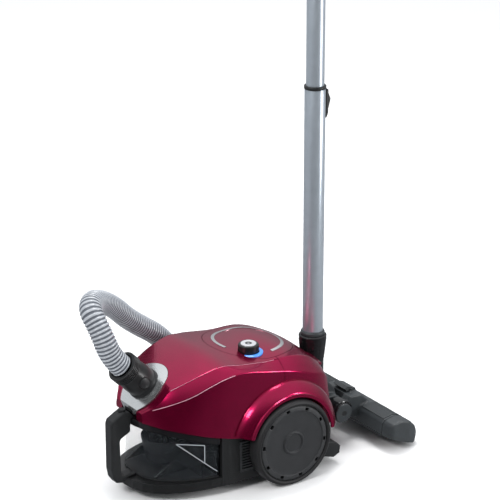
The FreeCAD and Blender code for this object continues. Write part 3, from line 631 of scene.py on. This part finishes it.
SEAM = 0.5                # half of the gap between two red panels, in mm
RED_RISE = 3.0            # height of the levelled nose above the inlet's plane, in mm
BEZEL_RISE = 5.5
WALL = 3.0
WALL_DROP = 10            # how far the body's inside runs past its lower edge, in mm
TOP = 260                 # height above everything on the body
FAR = 150                 # half width beyond everything on the body
PARKING_SLOT = (-11, 11, 85, 130, 120, TOP)
NOSE_GAP = (-22, 22, -260, -222, 60, 150)
HANDLE_ROOM = (-12.5, 12.5, -262, -226, 100, 151.6)
LID_ROOM = (-60, 60, -262, -200, 100, 140.5)
PANEL_LOW = 190           # heights below and above the control panel's surface, in mm
PANEL_HIGH = 250
HOOD_LOW = 60             # height below the hood's lowest edge
PLAN_REAR = 60            # Y where the hood's plan outline ends, behind the seam at the axle
INLET_DOWN = Vector((0, -1, -1)).normalized()
BEZEL_EDGE = 43.5         # half width of the silver bezel, in mm
CHIN = 9.0                # how much further it reaches down towards the handle


def above_inlet(h):
    """Block over everything that stands more than h above the hose inlet's plane."""
    rings = []
    for level in (h, h + 80.0):
        base = INLET + INLET_DIR * level
        corners = [(-110, -70), (110, -70), (110, 95), (-110, 95)]
        rings.append([base + X_AXIS * x + INLET_DOWN * d for x, d in corners])
    return mesh_from(rings)


def bezel_bar(extra, low, high, steps=120):
    """Bar on the bezel's egg-shaped outline, along the inlet's axis."""
    rings = []
    for level in (low, high):
        ring = []
        for i in range(steps):
            angle = math.tau * i / steps
            edge = BEZEL_EDGE + extra + CHIN * max(0.0, math.sin(angle)) ** 3
            out = X_AXIS * math.cos(angle) + INLET_DOWN * math.sin(angle)
            ring.append(INLET + INLET_DIR * level + out * edge)
        rings.append(ring)
    return mesh_from(rings)


def body_shell(outset, wall, rise):
    """Hollow body whose nose is levelled off at rise above the inlet's plane."""
    outer = cut(body_solid(-outset, 0), above_inlet(rise))
    inner = cut(body_solid(wall - outset, WALL_DROP), above_inlet(rise - wall))
    return cut(outer, inner)


def red_shells():
    """Hood, side panels, rear cover and control panel, all cut from one curved body."""
    shell = body_shell(0.0, WALL, RED_RISE)
    shell = cut(shell, bezel_bar(0.5, -60, 40))
    shell = cut(shell, block(*NOSE_GAP))
    centre = Vector((0, PANEL_Y, 0))
    panel = cut(shell, disc(PANEL_R - SEAM, centre, Z_AXIS, PANEL_LOW, PANEL_HIGH), "INTERSECT")
    knob_spot = Vector((KNOB_X, KNOB_Y, 0))
    panel = cut(panel, disc(KNOB_R + 1.0, knob_spot, Z_AXIS, PANEL_LOW, PANEL_HIGH))
    shell = cut(shell, disc(PANEL_R + SEAM, centre, Z_AXIS, PANEL_LOW - 5, PANEL_HIGH))
    front = cut(shell, block(-FAR, FAR, AXLE_Y - SEAM, 200, 0, TOP))
    rear = cut(shell, block(-FAR, FAR, -300, AXLE_Y + SEAM, 0, TOP))
    rear = cut(rear, block(*PARKING_SLOT))
    hood = cut(front, prism(crease_plan(PLAN_REAR, SEAM), HOOD_LOW, TOP), "INTERSECT")
    sides = cut(front, prism(crease_plan(PLAN_REAR, -SEAM), HOOD_LOW, TOP))
    left = cut(sides, block(-FAR, 0, -300, 100, 0, TOP))
    right = cut(sides, block(0, FAR, -300, 100, 0, TOP))
    made = {"hood": hood, "side_panel_left": left, "side_panel_right": right, "rear_cover": rear}
    made["control_panel"] = panel
    for name, mesh in made.items():
        obj = piece(name + "_shell", mesh, "canister", RED)
        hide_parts(name)
        bevelled(obj, 0.7)


def inlet_bezel():
    """Satin collar round the hose inlet, wrapped over the nose down to the handle."""
    collar = cut(body_shell(1.0, WALL, BEZEL_RISE), bezel_bar(0.0, -45, 40), "INTERSECT")
    collar = cut(collar, disc(26.4, INLET, INLET_DIR, -80, 40))
    collar = cut(collar, block(*HANDLE_ROOM))
    collar = cut(collar, block(*LID_ROOM))
    obj = piece("bezel", collar, "canister", SILVER)
    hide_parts("inlet_bezel")
    bevelled(obj, 1.4, segments=4, angle=40)
    neck = block(-21.5, 21.5, -228.5, -221, 140.5, 160)
    bevelled(piece("bezel_neck", neck, "canister", BLACK_MATTE), 0.5)


ELBOW_TOP = 63.6          # height of the uppermost rib above the inlet's plane, in mm
ELBOW_PITCH = 3.4
ELBOW_RIBS = 5
ELBOW_RIB = [(27.0, 0.0), (27.2, 1.4), (26.8, 2.0), (24.9, 2.4)]     # radius, drop from its top


def elbow_rings():
    """Ribs round the hose end of the elbow, and its flange on the bezel."""
    profile = [(24.6, 47.5), (24.6, 64.2)]
    for i in range(ELBOW_RIBS):
        top = ELBOW_TOP - i * ELBOW_PITCH
        profile += [(r, top - drop) for r, drop in ELBOW_RIB]
    rings = turned(profile, INLET, INLET_DIR)
    obj = piece("elbow_rings", rings, "canister", BLACK_SATIN)
    bevelled(obj, 0.3)
    outline = [(25.6, 3), (27.8, 3), (27.8, 9.4), (27.2, 11.2), (26.2, 13.5), (25.6, 13.5)]
    flange = turned(outline, INLET, INLET_DIR)
    bevelled(piece("elbow_flange", flange, "canister", BLACK_MATTE), 0.6)


SOCKET_RIBS = 12
SOCKET_LINE = [(150, 20.2), (172, 22.6), (187, 24.2)]    # height and radius along each rib


def socket_ribs():
    """Upright ribs round the wand's parking socket."""
    bm = bmesh.new()
    for i in range(SOCKET_RIBS):
        angle = math.tau * i / SOCKET_RIBS
        out = Vector((math.cos(angle), math.sin(angle), 0))
        side = Vector((-out.y, out.x, 0))
        rows = []
        for z, r in SOCKET_LINE:
            foot = Vector((0, WAND_Y, z))
            spots = [foot + out * (r - 2.5) - side * 1.3, foot + out * r - side * 1.0]
            spots += [foot + out * r + side * 1.0, foot + out * (r - 2.5) + side * 1.3]
            rows.append([bm.verts.new(p * MM) for p in spots])
        bridge(bm, rows)
        cap(bm, rows)
    mesh = mesh_of(bm, "socket_ribs")
    bevelled(piece("socket_ribs", mesh, "wand", BLACK_GLOSS), 0.3)


PAD_LINE = [(211.5, 55.9), (228.0, 59.2), (242.0, 55.2)]  # Y, Z along the top of both pads
PAD_ROWS = (6, 5)         # rows of studs before and after the pad's crest
STUD_FIRST = 44.5         # |X| of the innermost column of studs, in mm
STUD_PITCH = 3.0
STUD_COLUMNS = 20
STUD_HALF = 0.85          # half width of a stud at its foot


def pad_studs():
    """Grid of small raised studs on both textured pads of the nozzle."""
    bm = bmesh.new()
    spots = [Vector((0, y, z)) for y, z in PAD_LINE]
    places = []
    for start, end, count in zip(spots, spots[1:], PAD_ROWS):
        out = (end - start).normalized().cross(X_AXIS)
        out = out if out.z > 0 else -out
        places += [(start.lerp(end, (k + 0.5) / count), end - start, out) for k in range(count)]
    for side in (1, -1):
        for k in range(STUD_COLUMNS):
            x = side * (STUD_FIRST + STUD_PITCH * k)
            for spot, run, out in places:
                along = run.normalized() * STUD_HALF
                across = X_AXIS * STUD_HALF
                foot = spot + X_AXIS * x - out * 0.6
                corners = [-along - across, along - across, along + across, -along + across]
                low = [bm.verts.new((foot + corner) * MM) for corner in corners]
                high = [bm.verts.new((foot + corner * 0.6 + out * 1.05) * MM) for corner in corners]
                bridge(bm, [low, high])
                cap(bm, [low, high])
    piece("pad_studs", mesh_of(bm, "pad_studs"), "nozzle_head", GREY)


ROLLER_HUB = Vector((0, 158, 62))
ROLLER_CAP = [(0, 59.5), (16.2, 59.5), (16.6, 60.4), (15.8, 61.6), (5.2, 61.9), (4.6, 61.0), (0, 61.0)]
FENDER = [(19.0, 36.0), (20.6, 36.0), (22.0, 37.6), (22.4, 52.0), (21.2, 57.2), (19.2, 58.0), (19.0, 57.0)]
FENDER_OPEN = [(100, 20), (190, 20), (190, 72), (164, 66), (100, 58)]    # Y, Z left free of it


def roller_trim():
    """Flat cap on each roller's outer face, and the glossy fender above the roller."""
    for side, name in ((1, "left"), (-1, "right")):
        plate = turned(ROLLER_CAP, ROLLER_HUB, X_AXIS * side)
        bevelled(piece("roller_cap_" + name, plate, "rollers", GREY), 0.3)
        low, high = sorted((side * 30, side * 70))
        guard = turned(FENDER, ROLLER_HUB, X_AXIS * side)
        guard = cut(guard, prism(FENDER_OPEN, low, high, axis="x"))
        obj = piece("roller_fender_" + name, guard, "nozzle_head", BLACK_GLOSS)
        bevelled(obj, 0.5)


LIP = [(24, 98, 181), (57, 98, 171), (50, 117.5, 163.5), (24, 116, 169)]   # corners of its top


def rear_lips():
    """Overhanging lip on each side of the parking slot, red above and black below."""
    for side, name in ((1, "left"), (-1, "right")):
        over = [[(side * x, y, z + rise) for x, y, z in LIP] for rise in (-4.5, 0.0)]
        bevelled(piece("rear_lip_" + name, mesh_from(over), "canister", RED), 0.8)
        under = [[(side * (x - 1), y - 1.5, z + rise) for x, y, z in LIP] for rise in (-7.5, -4.4)]
        obj = piece("rear_lip_under_" + name, mesh_from(under), "canister", BLACK_MATTE)
        bevelled(obj, 0.5)


def knob_mark():
    """Grey ring with a dark centre on top of the knob's cap."""
    base = Vector((KNOB_X, KNOB_Y, KNOB_TOP))
    ring = turned([(2.6, 0), (5.4, 0), (5.4, 0.6), (5.0, 0.9), (3.0, 0.9), (2.6, 0.6)], base, Z_AXIS)
    piece("knob_mark", ring, "knob_button", CHARCOAL)


CREASES = [               # painted highlight lines: column of SECTIONS, first and last Y, depth under the sharp crease, name
    (5, -193.0, -4.0, 0.75, "shoulder"),
    (3, -222.0, -92.0, 0.3, "side"),
]
CREASE_R = 0.45
CREASE_STEPS = 60


def painted_crease_highlights():
    """Fine pale lines along the shoulder and side creases, ahead of the wheel arches: painted highlights
    where the creases catch the light.
    """
    turns = [math.tau * i / 8 for i in range(8)]
    for column, start, end, inset, name in CREASES:
        for side, hand in ((1, "left"), (-1, "right")):
            spots = []
            for k in range(CREASE_STEPS + 1):
                y = start + (end - start) * k / CREASE_STEPS
                row = eased(SECTIONS, y)
                spots.append(Vector((side * (row[column] - inset), y, row[column + 1] - inset)))
            rings = []
            for spot, (u, w) in zip(spots, frames_along(spots)):
                rings.append([spot + (u * math.cos(t) + w * math.sin(t)) * CREASE_R for t in turns])
            line = mesh_from(rings)
            # Each tube carries the painted crease highlight colour.
            piece(name + "_painted_highlight_" + hand, line, "canister", CREASE_HIGHLIGHT_PAINT, smooth=60)


TRIM_IN = 55.5            # radii of the trim on the control panel, in mm
TRIM_OUT = 61.0
TRIM_GAP = (-73, -52, -31, -11, 9)     # directions across its open stretch, in degrees
TRIM_REACH = 120          # how far the wedge that opens the trim reaches, in mm
TRIM_PROUD = 0.7          # how far the trim stands out of the panel, and reaches into it
TRIM_DEPTH = 1.5


def panel_trim():
    """C-shaped trim on the control panel, open beside the knob."""
    centre = Vector((0, PANEL_Y, 0))
    section = [
        (TRIM_IN, PANEL_LOW), (TRIM_OUT, PANEL_LOW), (TRIM_OUT, PANEL_HIGH), (TRIM_IN, PANEL_HIGH),
    ]
    band = turned(section, centre, Z_AXIS, steps=180)
    wedge = [(0, PANEL_Y)]
    for degrees in TRIM_GAP:
        angle = math.radians(degrees)
        wedge.append((TRIM_REACH * math.cos(angle), PANEL_Y + TRIM_REACH * math.sin(angle)))
    band = cut(band, prism(wedge, PANEL_LOW - 10, TOP))
    band = cut(band, body_solid(-TRIM_PROUD, 0), "INTERSECT")
    band = cut(band, body_solid(TRIM_DEPTH, 0))
    obj = piece("panel_trim", band, "canister", SILVER)
    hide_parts("panel_ring")
    bevelled(obj, 0.5)


ARCH = [                  # radius round the axle and |X|, over the outside and back
    (103, 101), (101.5, 107), (98, 113.5), (92, 120), (87.5, 124.2), (85.5, 125.0), (84.8, 127.2),
    (79.6, 127.4), (79.2, 126.8), (79.2, 124.6), (83, 124.0), (86, 122), (94, 113), (97, 101),
]
ARCH_OPEN = [(-160, -60), (160, -60), (160, 76), (44, 84), (-36, 94), (-160, 112)]   # Y, Z below it


def wheel_arches():
    """Flared two-step arch over each rear wheel."""
    hub = Vector((0, AXLE_Y, WHEEL_R))
    for side, name in ((1, "left"), (-1, "right")):
        flare = turned(ARCH, hub, X_AXIS, steps=180)
        flare = cut(flare, prism(ARCH_OPEN, 90, 150, axis="x"))
        if side < 0:
            flare.transform(Matrix.Scale(-1, 4, X_AXIS))
            flare.flip_normals()
        obj = piece("wheel_arch_" + name, flare, "canister", RED)
        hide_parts("wheel_arches")
        bevelled(obj, 0.6, angle=40)


# ------------------------------------------------------------------ stage
def area(name, place, target, size, power):
    """Rectangular lamp at place that shines on target."""
    data = bpy.data.lights.new(name, "AREA")
    data.shape = "RECTANGLE"
    data.size, data.size_y = size
    data.energy = power
    lamp = bpy.data.objects.new(name, data)
    bpy.context.scene.collection.objects.link(lamp)
    aim(lamp, place, target)


def backdrop():
    """Soft surroundings: bright above, darker all round, darkest on the camera's side."""
    world = bpy.data.worlds.new("studio")
    world.use_nodes = True
    tree = world.node_tree
    place = tree.nodes.new("ShaderNodeTexCoord")
    split = tree.nodes.new("ShaderNodeSeparateXYZ")
    tree.links.new(place.outputs["Generated"], split.inputs["Vector"])
    rise = tree.nodes.new("ShaderNodeValToRGB")
    rise.color_ramp.elements[0].position = 0.05
    rise.color_ramp.elements[0].color = (0.3, 0.31, 0.33, 1)
    rise.color_ramp.elements[1].position = 0.75
    rise.color_ramp.elements[1].color = (1.15, 1.17, 1.2, 1)
    tree.links.new(split.outputs["Z"], rise.inputs["Fac"])
    facing = tree.nodes.new("ShaderNodeVectorMath")
    facing.operation = "DOT_PRODUCT"
    facing.inputs[1].default_value = (0.83, -0.56, 0.0)
    tree.links.new(place.outputs["Generated"], facing.inputs[0])
    spread = tree.nodes.new("ShaderNodeMapRange")
    spread.interpolation_type = "SMOOTHSTEP"
    spread.inputs["From Min"].default_value = 0.35
    spread.inputs["From Max"].default_value = 0.92
    spread.inputs["To Min"].default_value = 1.0
    spread.inputs["To Max"].default_value = 0.12
    tree.links.new(facing.outputs["Value"], spread.inputs["Value"])
    tree.links.new(rise.outputs["Color"], tree.nodes["Background"].inputs["Color"])
    tree.links.new(spread.outputs["Result"], tree.nodes["Background"].inputs["Strength"])
    bpy.context.scene.world = world
    bpy.context.scene.view_settings.view_transform = "Standard"


FLOOR_HALF = 9.0          # metres


def studio():
    """Backdrop, three lamps and a pale floor."""
    backdrop()
    area("key", (0.6, -2.6, 2.4), (0, -0.1, 0.15), (1.2, 0.8), 55)
    area("strip", (1.9, 1.5, 0.7), (0.1, 0.02, 0.1), (0.22, 1.3), 30)
    area("top", (-0.6, 0.4, 2.6), (0, 0, 0.1), (1.2, 0.9), 45)
    bm = bmesh.new()
    corners = [(-1, -1), (1, -1), (1, 1), (-1, 1)]
    bm.faces.new([bm.verts.new((x * FLOOR_HALF, y * FLOOR_HALF, 0)) for x, y in corners])
    mesh = bpy.data.meshes.new("floor")
    bm.to_mesh(mesh)
    bm.free()
    floor = bpy.data.objects.new("floor", mesh)
    bpy.context.scene.collection.objects.link(floor)
    mesh.materials.append(material("floor_pale", (0.9, 0.9, 0.9), 0.7, vary=0.005, spec=0.1))
    floor.visible_glossy = False


camera()
hose()
dress_nodes()
darken_bin_back()
bin_ribs()
red_shells()
panel_trim()
painted_crease_highlights()
wheel_arches()
inlet_bezel()
elbow_rings()
socket_ribs()
knob_mark()
pad_studs()
roller_trim()
rear_lips()
studio()
